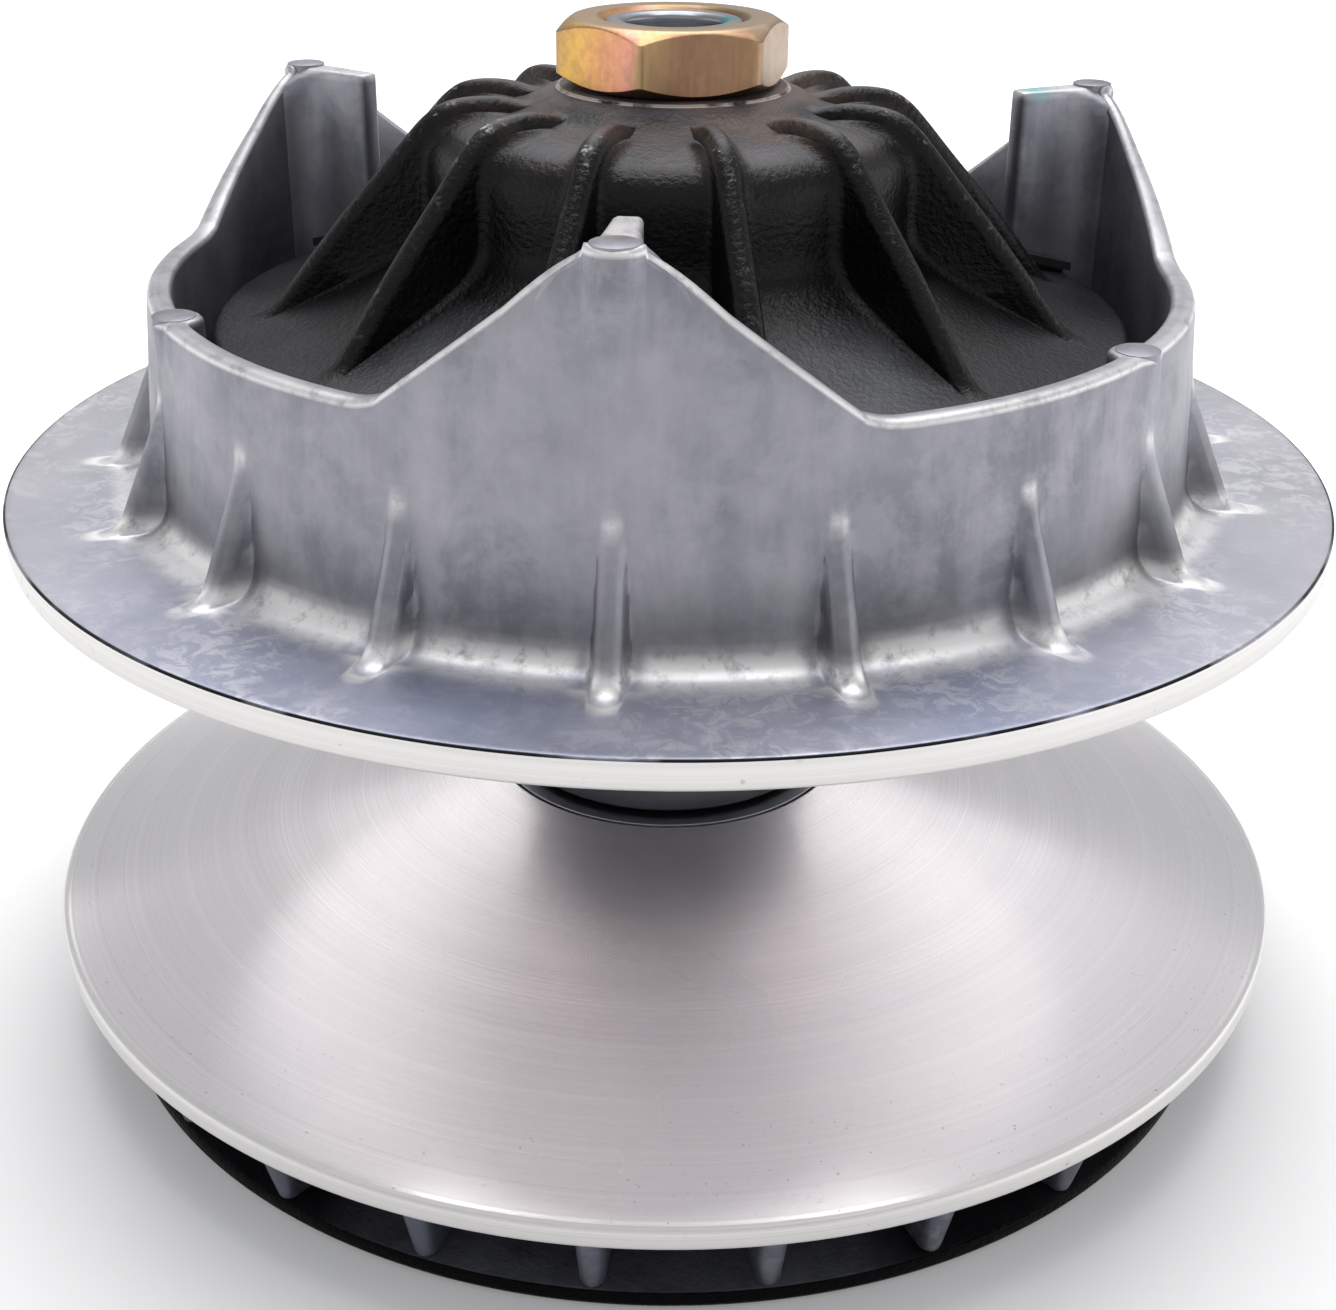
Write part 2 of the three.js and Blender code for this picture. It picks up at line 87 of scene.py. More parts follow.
def softened(outline, steps=3):
    """A closed outline of (r, z) or (r, z, rounding) with each rounded corner as a short curve."""
    count = len(outline)
    result = []
    for i, corner in enumerate(outline):
        here = np.array(corner[:2], float)
        rounding = corner[2] if len(corner) > 2 else 0.0
        if rounding <= 0:
            result.append(tuple(here))
            continue
        before = np.array(outline[i - 1][:2], float) - here
        after = np.array(outline[(i + 1) % count][:2], float) - here
        start = here + before * min(rounding / np.linalg.norm(before), 0.45)
        end = here + after * min(rounding / np.linalg.norm(after), 0.45)
        for step in range(steps + 1):
            t = step / steps
            result.append(tuple((1 - t) ** 2 * start + 2 * t * (1 - t) * here + t * t * end))
    return result


def ring_grid(columns, rows):
    """Quad faces of a grid whose columns go once round the axis and whose rows close on themselves."""
    faces = []
    for i in range(columns):
        a = i * rows
        b = ((i + 1) % columns) * rows
        for j in range(rows):
            k = (j + 1) % rows
            faces.append((a + j, b + j, b + k, a + k))
    return faces


def turned(name, outline, body, materials, segments=192, steps=3):
    """A piece turned about Z from a closed outline."""
    profile = np.array(softened(outline, steps))
    angles = np.arange(segments) * 2 * math.pi / segments
    points = np.empty((segments, len(profile), 3))
    points[..., 0] = np.cos(angles)[:, None] * profile[None, :, 0]
    points[..., 1] = np.sin(angles)[:, None] * profile[None, :, 0]
    points[..., 2] = profile[None, :, 1]
    faces = ring_grid(segments, len(profile))
    return mesh_object(name, points.reshape(-1, 3), faces, body, materials)


def to_azimuth(points, azimuth):
    """Points given as (outwards, sideways, up) moved to an azimuth."""
    angle = math.radians(azimuth)
    points = np.asarray(points, float)
    turned_points = points.copy()
    turned_points[:, 0] = points[:, 0] * math.cos(angle) - points[:, 1] * math.sin(angle)
    turned_points[:, 1] = points[:, 0] * math.sin(angle) + points[:, 1] * math.cos(angle)
    return turned_points


def loft(sections):
    """Points and faces of a closed body through sections of equal length, capped at both ends."""
    count = len(sections[0])
    points = np.concatenate(sections)
    faces = [tuple(range(count))[::-1]]
    for i in range(len(sections) - 1):
        for j in range(count):
            k = (j + 1) % count
            faces.append((i * count + j, i * count + k, (i + 1) * count + k, (i + 1) * count + j))
    faces.append(tuple((len(sections) - 1) * count + j for j in range(count)))
    return points, faces


def bevel(piece, width_mm):
    modifier = piece.modifiers.new("edge rounding", "BEVEL")
    modifier.width = width_mm * MM
    modifier.segments = 2
    modifier.limit_method = "ANGLE"
    modifier.angle_limit = math.radians(SHARP_ANGLE)
    modifier.harden_normals = True


def cut(piece, cutters):
    """Cuts the meshes (points, faces) out of a piece for good."""
    points = []
    faces = []
    for cutter_points, cutter_faces in cutters:
        faces += [tuple(i + len(points) for i in face) for face in cutter_faces]
        points += [tuple(p) for p in np.asarray(cutter_points)]
    mesh = bpy.data.meshes.new("cutter")
    mesh.from_pydata((np.array(points) * MM).tolist(), [], faces)
    shape = bmesh.new()
    shape.from_mesh(mesh)
    bmesh.ops.recalc_face_normals(shape, faces=shape.faces)
    shape.to_mesh(mesh)
    shape.free()
    cutter = bpy.data.objects.new("cutter", mesh)
    bpy.context.scene.collection.objects.link(cutter)
    modifier = piece.modifiers.new("cut", "BOOLEAN")
    modifier.operation = "DIFFERENCE"
    modifier.solver = "EXACT"
    modifier.object = cutter
    bpy.context.view_layer.update()
    depsgraph = bpy.context.evaluated_depsgraph_get()
    result = bpy.data.meshes.new_from_object(piece.evaluated_get(depsgraph))
    piece.modifiers.remove(modifier)
    piece.data = result
    piece.data.set_sharp_from_angle(angle=math.radians(SHARP_ANGLE))
    bpy.data.objects.remove(cutter)


def cylinder_points(centre, radii, heights, sides=32):
    """A stack of circles about a vertical axis, as loft sections."""
    angles = np.arange(sides) * 2 * math.pi / sides
    sections = []
    for radius, height in zip(radii, heights):
        circle = np.stack([np.cos(angles) * radius, np.sin(angles) * radius, angles * 0 + height], 1)
        sections.append(circle + np.array([centre[0], centre[1], 0]))
    return loft(sections)


def smooth_max(a, b, blend):
    share = np.clip(0.5 + 0.5 * (a - b) / blend, 0, 1)
    return b * (1 - share) + a * share + blend * share * (1 - share)


def smooth_step(value, low, high):
    t = np.clip((value - low) / (high - low), 0, 1)
    return t * t * (3 - 2 * t)


def through(points, per_span):
    """A Catmull-Rom curve through the points, with a few points added in each span."""
    points = np.asarray(points, float)
    padded = np.vstack([2 * points[0] - points[1], points, 2 * points[-1] - points[-2]])
    result = []
    for i in range(1, len(padded) - 2):
        p0, p1, p2, p3 = padded[i - 1:i + 3]
        for step in range(per_span):
            t = step / per_span
            result.append(
                0.5 * (2 * p1 + (p2 - p0) * t + (2 * p0 - 5 * p1 + 4 * p2 - p3) * t * t
                       + (3 * p1 - p0 - 3 * p2 + p3) * t ** 3)
            )
    result.append(points[-1])
    return np.array(result)


def store(piece, name, values):
    attribute = piece.data.attributes.new(name, "FLOAT", "POINT")
    attribute.data.foreach_set("value", np.asarray(values, np.float32))


# Materials -----------------------------------------------------------------------------------------

class Surface:
    """A node material with one Principled shader and short calls for what feeds it."""

    def __init__(self, name, metallic=0.0, roughness=0.5):
        self.material = bpy.data.materials.new(name)
        self.material.use_nodes = True
        self.tree = self.material.node_tree
        self.shader = self.tree.nodes["Principled BSDF"]
        self.shader.inputs["Metallic"].default_value = metallic
        self.shader.inputs["Roughness"].default_value = roughness
        self.place = self.tree.nodes.new("ShaderNodeTexCoord").outputs["Object"]

    def node(self, kind, values=None, links=None, **settings):
        node = self.tree.nodes.new(kind)
        for key, value in settings.items():
            setattr(node, key, value)
        for key, value in (values or {}).items():
            node.inputs[key].default_value = value
        for key, source in (links or {}).items():
            self.tree.links.new(source, node.inputs[key])
        return node

    def scaled(self, scale):
        return self.node("ShaderNodeMapping", {"Scale": scale}, {"Vector": self.place}).outputs[0]

    def noise(self, scale, detail=4.0, rough=0.55, distortion=0.0, vector=None):
        values = {"Scale": scale, "Detail": detail, "Roughness": rough, "Distortion": distortion}
        return self.node("ShaderNodeTexNoise", values, {"Vector": vector or self.place}).outputs["Fac"]

    def math(self, operation, a, b=0.0):
        node = self.node("ShaderNodeMath", operation=operation)
        for i, value in enumerate((a, b)):
            if hasattr(value, "is_output"):
                self.tree.links.new(value, node.inputs[i])
            else:
                node.inputs[i].default_value = value
        return node.outputs[0]

    def spread(self, value, low, high, to_low=0.0, to_high=1.0):
        values = {"From Min": low, "From Max": high, "To Min": to_low, "To Max": to_high}
        return self.node("ShaderNodeMapRange", values, {"Value": value}).outputs["Result"]

    def blend(self, share, first, second):
        node = self.node("ShaderNodeMix", data_type="RGBA")
        for key, value in ((0, share), (6, first), (7, second)):
            if hasattr(value, "is_output"):
                self.tree.links.new(value, node.inputs[key])
            else:
                node.inputs[key].default_value = value if key == 0 else (*value, 1.0)
        return node.outputs[2]

    def radius(self):
        parts = self.node("ShaderNodeSeparateXYZ", links={"Vector": self.place}).outputs
        squares = self.math("ADD", self.math("MULTIPLY", parts[0], parts[0]),
                            self.math("MULTIPLY", parts[1], parts[1]))
        return self.math("SQRT", squares)

    def upward(self):
        """How far the surface faces up, from -1 to 1."""
        normal = self.node("ShaderNodeTexCoord").outputs["Normal"]
        return self.node("ShaderNodeSeparateXYZ", links={"Vector": normal}).outputs[2]

    def height(self):
        return self.node("ShaderNodeSeparateXYZ", links={"Vector": self.place}).outputs[2]

    def spot(self, centre_mm, radius_mm):
        """A soft round area about a point of the object."""
        values = {1: [part * MM for part in centre_mm]}
        gap = self.node("ShaderNodeVectorMath", values, {0: self.place}, operation="DISTANCE")
        return self.spread(gap.outputs["Value"], radius_mm * 0.6 * MM, radius_mm * MM, 1.0, 0.0)

    def attribute(self, name):
        return self.node("ShaderNodeAttribute", attribute_name=name).outputs["Fac"]

    def rings(self, source, per_metre):
        """Fine turned lines: noise along one measure only."""
        values = {"Scale": per_metre, "Detail": 3.0, "Roughness": 0.7}
        return self.node("ShaderNodeTexNoise", values, {"W": source}, noise_dimensions="1D").outputs["Fac"]

    def colour(self, value):
        self.tree.links.new(value, self.shader.inputs["Base Color"])

    def rough(self, value):
        self.tree.links.new(value, self.shader.inputs["Roughness"])

    def bump(self, value, strength, distance_mm):
        values = {"Strength": strength, "Distance": distance_mm * MM}
        links = {"Height": value}
        normal = self.shader.inputs["Normal"]
        if normal.is_linked:
            links["Normal"] = normal.links[0].from_socket
        node = self.node("ShaderNodeBump", values, links)
        self.tree.links.new(node.outputs[0], normal)

    def turned_grain(self, amount, turn=0.0):
        self.shader.inputs["Anisotropic"].default_value = amount
        self.shader.inputs["Anisotropic Rotation"].default_value = turn
        tangent = self.node("ShaderNodeTangent", direction_type="RADIAL", axis="Z")
        self.tree.links.new(tangent.outputs[0], self.shader.inputs["Tangent"])


def cast_aluminium(name="cast aluminium", shade=1.0):
    """Die-cast aluminium: blue-grey and mottled, frosted on the flat disc, a painted highlight near white on
    its foot fillets, pale wear on its rib tips, painted shade low on the wall and painted light on the disc's
    left and right.
    """
    surface = Surface(name, metallic=0.88)

    # A shade below 1 darkens every grey as painted shade, for parts that lie in the disc's shadow.
    def grey(red, green, blue):
        return red * shade, green * shade, blue * shade

    patches = surface.spread(surface.noise(34, 6, 0.62, 0.3), 0.38, 0.64)
    blotches = surface.spread(surface.noise(130, 6, 0.72, 0.3), 0.44, 0.60)
    runs = surface.spread(surface.noise(1.0, 5, 0.65, 0.2, surface.scaled((120, 120, 20))), 0.45, 0.66)
    grain = surface.noise(900, 4, 0.7)
    tone = surface.blend(patches, grey(0.180, 0.182, 0.212), grey(0.29, 0.288, 0.328))
    tone = surface.blend(surface.math("MULTIPLY", runs, 0.40), tone, grey(0.42, 0.41, 0.455))
    tone = surface.blend(surface.math("MULTIPLY", blotches, 0.45), tone, grey(0.37, 0.365, 0.39))
    # Painted shade: the wall darkens in blotches towards its foot, standing in for the dark reflection that
    # lies just above the fillet.
    low = surface.spread(surface.height(), 0.0915, 0.1030, 1.0, 0.0)
    stain_and_shade = surface.math("MULTIPLY", low, surface.spread(surface.noise(60, 4, 0.6), 0.30, 0.62, 0.1, 0.75))
    tone = surface.blend(stain_and_shade, tone, grey(0.115, 0.117, 0.115))

    frost = surface.spread(surface.noise(300, 8, 0.72, 0.9), 0.48, 0.56)
    frost_area = surface.spread(surface.noise(30, 4, 0.6, 0.3), 0.38, 0.58)
    # Painted light: the disc's blue turns paler tan-grey towards its left and right, where the side lamps light
    # it; the blue itself is the casting's own.
    sideways = surface.node("ShaderNodeSeparateXYZ", links={"Vector": surface.place}).outputs[0]
    painted_side_light = surface.spread(surface.math("ABSOLUTE", sideways), 0.045, 0.092, 0.0, 0.85)
    disc_tone = surface.blend(patches, grey(0.32, 0.345, 0.46), grey(0.43, 0.44, 0.53))
    disc_tone = surface.blend(painted_side_light, disc_tone, grey(0.47, 0.46, 0.485))
    frosted = surface.math("MULTIPLY", frost, surface.math("MULTIPLY", frost_area, 0.55))
    disc_tone = surface.blend(frosted, disc_tone, grey(0.70, 0.69, 0.72))
    edge = surface.math("MULTIPLY", surface.spread(surface.radius(), 0.09955, 0.0997),
                        surface.spread(surface.noise(45, 3, 0.5), 0.38, 0.50, 0.25, 1.0))
    disc_tone = surface.blend(edge, disc_tone, (0.012, 0.012, 0.014))
    tone = surface.blend(surface.spread(surface.height(), 0.0893, 0.0903, 1.0, 0.0), tone, disc_tone)

    # Painted highlight and wear: the attribute makes the foot fillets near white as a painted highlight; on the
    # rib tips the same pale is wear.
    wear_and_highlight = surface.attribute("wear_and_highlight")
    highlight_and_wear = surface.math("MULTIPLY", wear_and_highlight, surface.spread(surface.noise(330, 5, 0.7), 0.22, 0.50))
    tone = surface.blend(highlight_and_wear, tone, (0.93, 0.915, 0.90))
    paint = surface.math("MULTIPLY", surface.spot((54.5, 31.5, 140.2), 3.4),
                         surface.spread(surface.noise(300, 3, 0.6), 0.30, 0.55, 0.25, 0.7))
    surface.colour(surface.blend(paint, tone, (0.12, 0.44, 0.46)))
    surface.rough(surface.spread(surface.noise(70, 5, 0.62), 0.3, 0.7, 0.40, 0.56))
    surface.bump(surface.noise(55, 6, 0.6), 0.35, 0.3)
    surface.bump(grain, 0.35, 0.09)
    return surface.material


def turned_aluminium():
    """Lathe-turned aluminium: fine rings round the axis that stretch highlights outwards."""
    surface = Surface("turned aluminium", metallic=1.0, roughness=0.3)
    radius = surface.radius()
    fine = surface.rings(radius, 2600)
    broad = surface.rings(radius, 120)
    cloudy = surface.noise(14, 4, 0.55, 0.4)
    tone = surface.blend(surface.spread(broad, 0.3, 0.7), (0.90, 0.865, 0.87), (0.97, 0.935, 0.935))
    tone = surface.blend(surface.spread(cloudy, 0.35, 0.7, 0.0, 0.5), tone, (0.87, 0.845, 0.865))
    tone = surface.blend(surface.spread(fine, 0.25, 0.75, 0.0, 0.22), tone, (0.48, 0.48, 0.51))
    specks = surface.spread(surface.noise(1500, 2, 0.5), 0.70, 0.75)
    near_rim = surface.spread(radius, 0.080, 0.098, 0.15, 0.6)
    tone = surface.blend(surface.math("MULTIPLY", specks, near_rim), tone, (0.10, 0.09, 0.09))
    surface.colour(tone)
    surface.rough(surface.spread(cloudy, 0.2, 0.8, 0.22, 0.31))
    surface.bump(fine, 0.14, 0.01)
    surface.turned_grain(0.84, 0.25)
    return surface.material


def machined_rim():
    """A bright machined edge, near white, with faint nicks."""
    surface = Surface("machined rim", metallic=0.85, roughness=0.45)
    lines = surface.rings(surface.height(), 2500)
    tone = surface.blend(surface.spread(lines, 0.3, 0.7), (0.66, 0.645, 0.63), (0.76, 0.745, 0.73))
    nicks = surface.spread(surface.noise(420, 3, 0.6), 0.68, 0.76, 0.0, 0.6)
    surface.colour(surface.blend(nicks, tone, (0.35, 0.34, 0.34)))
    surface.bump(lines, 0.15, 0.02)
    return surface.material


def black_coat(name="black coat", gloss=0.22):
    """Satin black coating on a casting: coarse skin, a painted highlight with some dusty grey on upward faces,
    painted shade on the dome's left and right flanks, and bright bare metal where the coat is chipped.
    """
    surface = Surface(name)
    surface.shader.inputs["Specular IOR Level"].default_value = gloss
    skin = surface.noise(1150, 3, 0.6)
    # Painted highlight: upward faces turn grey in patchy noise, partly dusty grey and partly the overhead
    # lamp's sheen painted in. shaded_side takes it off the dome's left and right flanks as painted shade.
    dust_and_top_highlight = surface.math("MULTIPLY", surface.spread(surface.upward(), 0.86, 0.97),
                        surface.spread(surface.noise(60, 5, 0.65, 0.4), 0.30, 0.66, 0.45, 1.0))
    parts = surface.node("ShaderNodeSeparateXYZ", links={"Vector": surface.place}).outputs
    shaded_side = surface.math("MULTIPLY", surface.spread(surface.radius(), 0.036, 0.042),
                               surface.spread(surface.math("ABSOLUTE", parts[0]), 0.030, 0.042, 0.0, 0.85))
    dust_and_top_highlight = surface.math("MULTIPLY", dust_and_top_highlight, surface.math("SUBTRACT", 1.0, shaded_side))
    tone = surface.blend(dust_and_top_highlight, (0.0008, 0.0008, 0.0010), (0.100, 0.103, 0.118))
    warm = surface.spread(surface.noise(85, 4, 0.6), 0.38, 0.60, 0.0, 0.85)
    near_hub = surface.spread(surface.radius(), 0.020, 0.036, 1.0, 0.0)
    tone = surface.blend(surface.math("MULTIPLY", warm, near_hub), tone, (0.105, 0.070, 0.055))
    ring = surface.math("MULTIPLY", surface.spread(surface.radius(), 0.01640, 0.01650),
                        surface.spread(surface.radius(), 0.01695, 0.01705, 1.0, 0.0))
    ring = surface.math("MULTIPLY", ring, surface.spread(surface.noise(260, 3, 0.6), 0.40, 0.52))
    tone = surface.blend(ring, tone, (0.40, 0.34, 0.31))
    wear_and_highlight = surface.attribute("wear_and_highlight")
    chips = surface.math("MULTIPLY", wear_and_highlight, surface.spread(surface.noise(640, 4, 0.7, 0.4), 0.58, 0.66))
    surface.colour(surface.blend(chips, tone, (0.46, 0.45, 0.44)))
    surface.rough(surface.spread(surface.noise(90, 4, 0.6), 0.3, 0.7, 0.34, 0.44))
    surface.bump(surface.noise(120, 4, 0.6), 0.16, 0.08)
    surface.bump(skin, 0.95, 0.24)
    return surface.material


def yellow_zinc():
    """Yellow zinc plate coloured from side to side across the nut. The gold, orange and rose tints on one side
    are the plating's own, the dark brown front facet is painted shade, and the pale tan on the other side is
    painted light.
    """
    surface = Surface("yellow zinc", metallic=1.0)
    parts = surface.node("ShaderNodeSeparateXYZ", links={"Vector": surface.place}).outputs
    # Painted light and shade: the ramp runs along the nut's x, so each facet is coloured with the brightness
    # its light gave it; the tints are the plating's own.
    clouds = surface.math("MULTIPLY", surface.noise(120, 4, 0.55, 0.2), 0.006)
    drift = surface.math("ADD", parts[0], clouds)
    ramp = surface.node("ShaderNodeValToRGB", links={"Fac": surface.spread(drift, -0.015, 0.021)})
    stops = ramp.color_ramp.elements
    stops[0].position = 0.0
    stops[0].color = (0.40, 0.25, 0.12, 1)
    stops[1].position = 1.0
    stops[1].color = (0.46, 0.34, 0.24, 1)
    for position, colour in ((0.12, (0.66, 0.40, 0.10)), (0.25, (0.66, 0.32, 0.15)),
                             (0.385, (0.60, 0.27, 0.20)), (0.43, (0.36, 0.25, 0.12)),
                             (0.56, (0.22, 0.125, 0.075)), (0.82, (0.25, 0.155, 0.085)),
                             (0.90, (0.42, 0.31, 0.20))):
        stop = stops.new(position)
        stop.color = (*colour, 1)
    mottle = surface.spread(surface.noise(520, 5, 0.7), 0.42, 0.62, 0.0, 0.4)
    tone = surface.blend(mottle, ramp.outputs[0], (0.30, 0.17, 0.11))
    scratches = surface.noise(1.0, 3, 0.6, 0.0, surface.scaled((1900, 1900, 160)))
    top = surface.spread(surface.height(), 0.1540, 0.1543)
    tone = surface.blend(surface.math("MULTIPLY", top, 0.8), tone, (0.40, 0.30, 0.185))
    surface.colour(tone)
    surface.rough(surface.spread(scratches, 0.3, 0.7, 0.30, 0.40))
    surface.bump(scratches, 0.25, 0.02)
    return surface.material


def ground_steel(name="ground steel", tone=(0.30, 0.31, 0.33), rough=0.30):
    """Ground steel: fine rings along the height and a thin film of oil staining."""
    surface = Surface(name, metallic=1.0)
    lines = surface.rings(surface.height(), 3000)
    stain = surface.spread(surface.noise(80, 4, 0.6, 0.6), 0.45, 0.75, 0.0, 0.5)
    darker = tuple(0.45 * part for part in tone)
    stain_and_shade = surface.blend(stain, tone, darker)
    paint = surface.math("MULTIPLY", surface.spot((7.4, 1.6, 153.2), 2.6),
                         surface.spread(surface.noise(500, 3, 0.6), 0.36, 0.46, 0.2, 0.9))
    surface.colour(surface.blend(paint, stain_and_shade, (0.02, 0.30, 0.31)))
    surface.rough(surface.spread(lines, 0.3, 0.7, rough - 0.05, rough + 0.12))
    surface.bump(lines, 0.15, 0.015)
    return surface.material


def bronze():
    surface = Surface("sintered bronze", metallic=1.0)
    grains = surface.noise(1100, 3, 0.65)
    surface.colour(surface.blend(surface.spread(grains, 0.35, 0.65), (0.34, 0.19, 0.07), (0.60, 0.38, 0.16)))
    surface.rough(surface.spread(grains, 0.3, 0.7, 0.34, 0.52))
    surface.bump(grains, 0.3, 0.04)
    return surface.material


def moulded(name, tone, rough, grain_scale):
    """Plastic or rubber with a fine moulded grain."""
    surface = Surface(name)
    grain = surface.noise(grain_scale, 3, 0.6)
    lighter = tuple(1.8 * part for part in tone)
    surface.colour(surface.blend(surface.spread(surface.noise(120, 3, 0.5), 0.4, 0.7), tone, lighter))
    surface.rough(surface.spread(grain, 0.3, 0.7, rough - 0.06, rough + 0.08))
    surface.bump(grain, 0.25, 0.04)
    return surface.material


CAST = cast_aluminium()
# The cast aluminium with every grey darkened to 0.42: painted shade for the fins, the screw bosses and the
# fixed disc's underside, which lie under the disc.
SHADED_CAST = cast_aluminium("shaded cast aluminium", 0.42)
TURNED = turned_aluminium()
RIM = machined_rim()
BLACK = black_coat()
BLACK_PLATE = black_coat("black plate", 0.06)
ZINC = yellow_zinc()
STEEL = ground_steel()
DARK_STEEL = ground_steel("oiled dark steel", (0.09, 0.09, 0.10), 0.34)
SPRING_STEEL = ground_steel("shot-peened spring steel", (0.16, 0.16, 0.18), 0.38)
BRONZE = bronze()
NYLON = moulded("black nylon", (0.016, 0.016, 0.018), 0.45, 700)
SEAL = moulded("seal rubber", (0.009, 0.009, 0.010), 0.6, 900)


# Sliding sheave ------------------------------------------------------------------------------------

WALL_INNER_R = 73.2
DISC_Z = 89.0
BOSS_R = 3.8
WALL_TOP = 119.0
PEAK_TOP = 140.3
PEAK_HALF_ANGLE = 26.5
PEAK_BEND = 0.9  # below 1 sharpens the top of a peak and widens its foot
WALL_FOOT_R = 79.0
WALL_LEAN = 0.078
RIB_FOOT_R = 85.4
RIB_LEAN = 0.43
BUTTRESS_COUNT = 18
WEB_INNER_R = 59.65
WEB_FOOT = 80.2  # inside the floor, clear of the belt face below it


def wall_top(angle):
    """Height of the housing wall at an angle from the nearest peak."""
    share = np.minimum(np.abs(angle) / PEAK_HALF_ANGLE, 1) ** PEAK_BEND
    slope = WALL_TOP + (PEAK_TOP - WALL_TOP) * 0.5 * (1 + np.cos(np.pi * share))
    shoulder = PEAK_TOP - 0.35 - 1.0 * np.maximum(np.abs(angle) - 2.5, 0)
    return np.maximum(slope, shoulder)


def outer_wall(z, s, has_boss, z_top):
    """Radius of the wall's outside at a height, s millimetres sideways from a buttress."""
    rise = np.maximum(z - DISC_Z, 0)
    wall = WALL_FOOT_R - WALL_LEAN * rise + fillet(rise, 4.2)
    rib = RIB_FOOT_R - RIB_LEAN * rise + fillet(rise, 2.2) - 0.42 * s * s - 4.5 * max(abs(s) - 1.6, 0)
    radius = smooth_max(rib, wall, 1.2)
    if has_boss:
        reach = math.sqrt(max(BOSS_R ** 2 - s * s, 0)) - 4 * max(abs(s) - BOSS_R, 0)
        radius = smooth_max(73.7 + reach - 0.13 * np.maximum(z_top - z, 0), radius, 1.6)
    return radius


def fillet(rise, size):
    """How far a concave rounding of this size stands out from a wall at a height above its foot."""
    left = np.maximum(size - rise, 0)
    return size - np.sqrt(np.maximum(size * size - left * left, 0))


def inner_wall(z, s, has_boss):
    radius = np.full_like(z, WALL_INNER_R)
    if has_boss:
        reach = math.sqrt(max(BOSS_R ** 2 - s * s, 0)) - 4 * max(abs(s) - BOSS_R, 0)
        radius = -smooth_max(np.full_like(radius, reach - 74.3), -radius, 0.9)
    return radius


